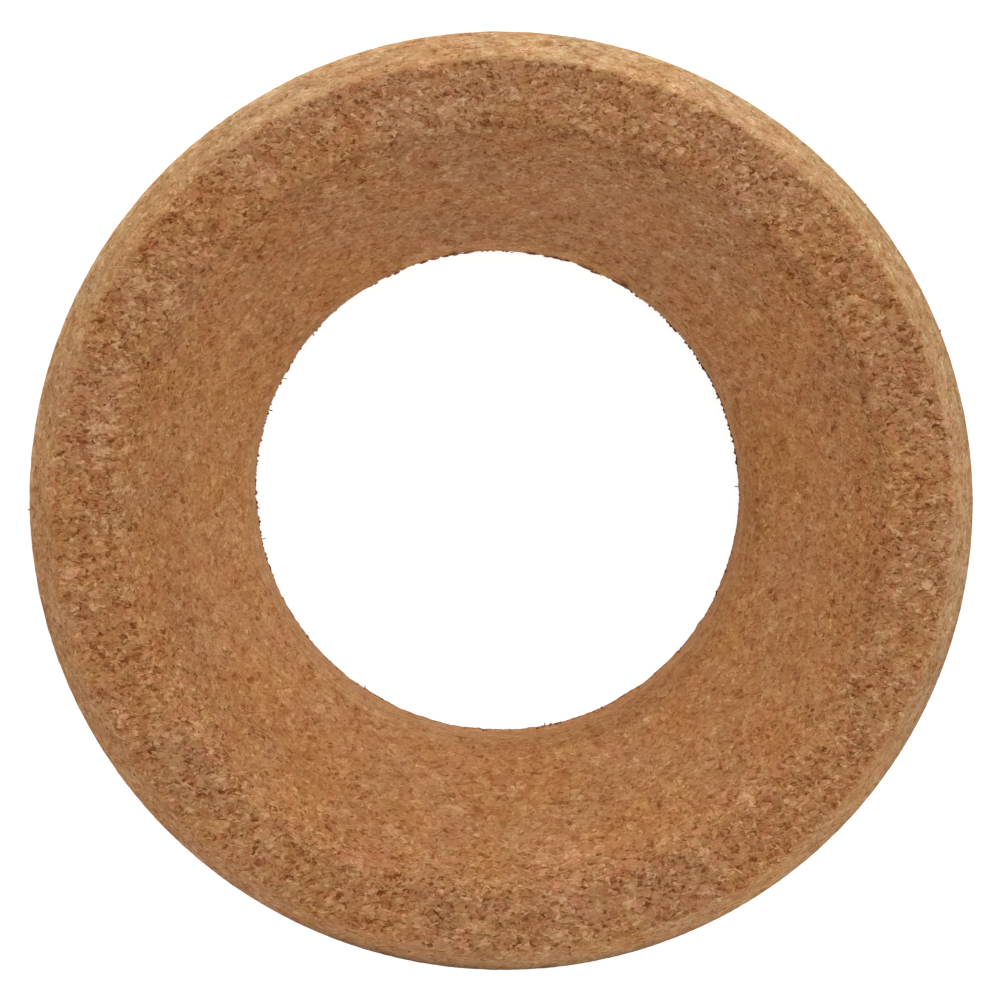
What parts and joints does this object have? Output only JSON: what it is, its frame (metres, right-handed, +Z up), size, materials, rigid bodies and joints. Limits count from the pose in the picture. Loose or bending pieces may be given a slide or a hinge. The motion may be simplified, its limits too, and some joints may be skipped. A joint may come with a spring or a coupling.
{
  "type": "cork ring",
  "caption": "Round pressed-cork bench ring with a bevelled top edge, a funnel-shaped seat and a through hole, to hold a round-bottomed flask upright.",
  "frame": {"origin": "centre of the ring on the surface it stands on, at the middle of its flat base", "axes": "+Z up along the ring's axis of symmetry, out of the funnel's mouth; X and Y lie in the base"},
  "size_m": [0.14, 0.14, 0.03],
  "materials": {
    "pressed_cork": "matt pressed and bonded cork granules, unsealed"
  },
  "bodies": {
    "root": {"cork_ring": "pressed_cork"}
  },
  "joints": []
}
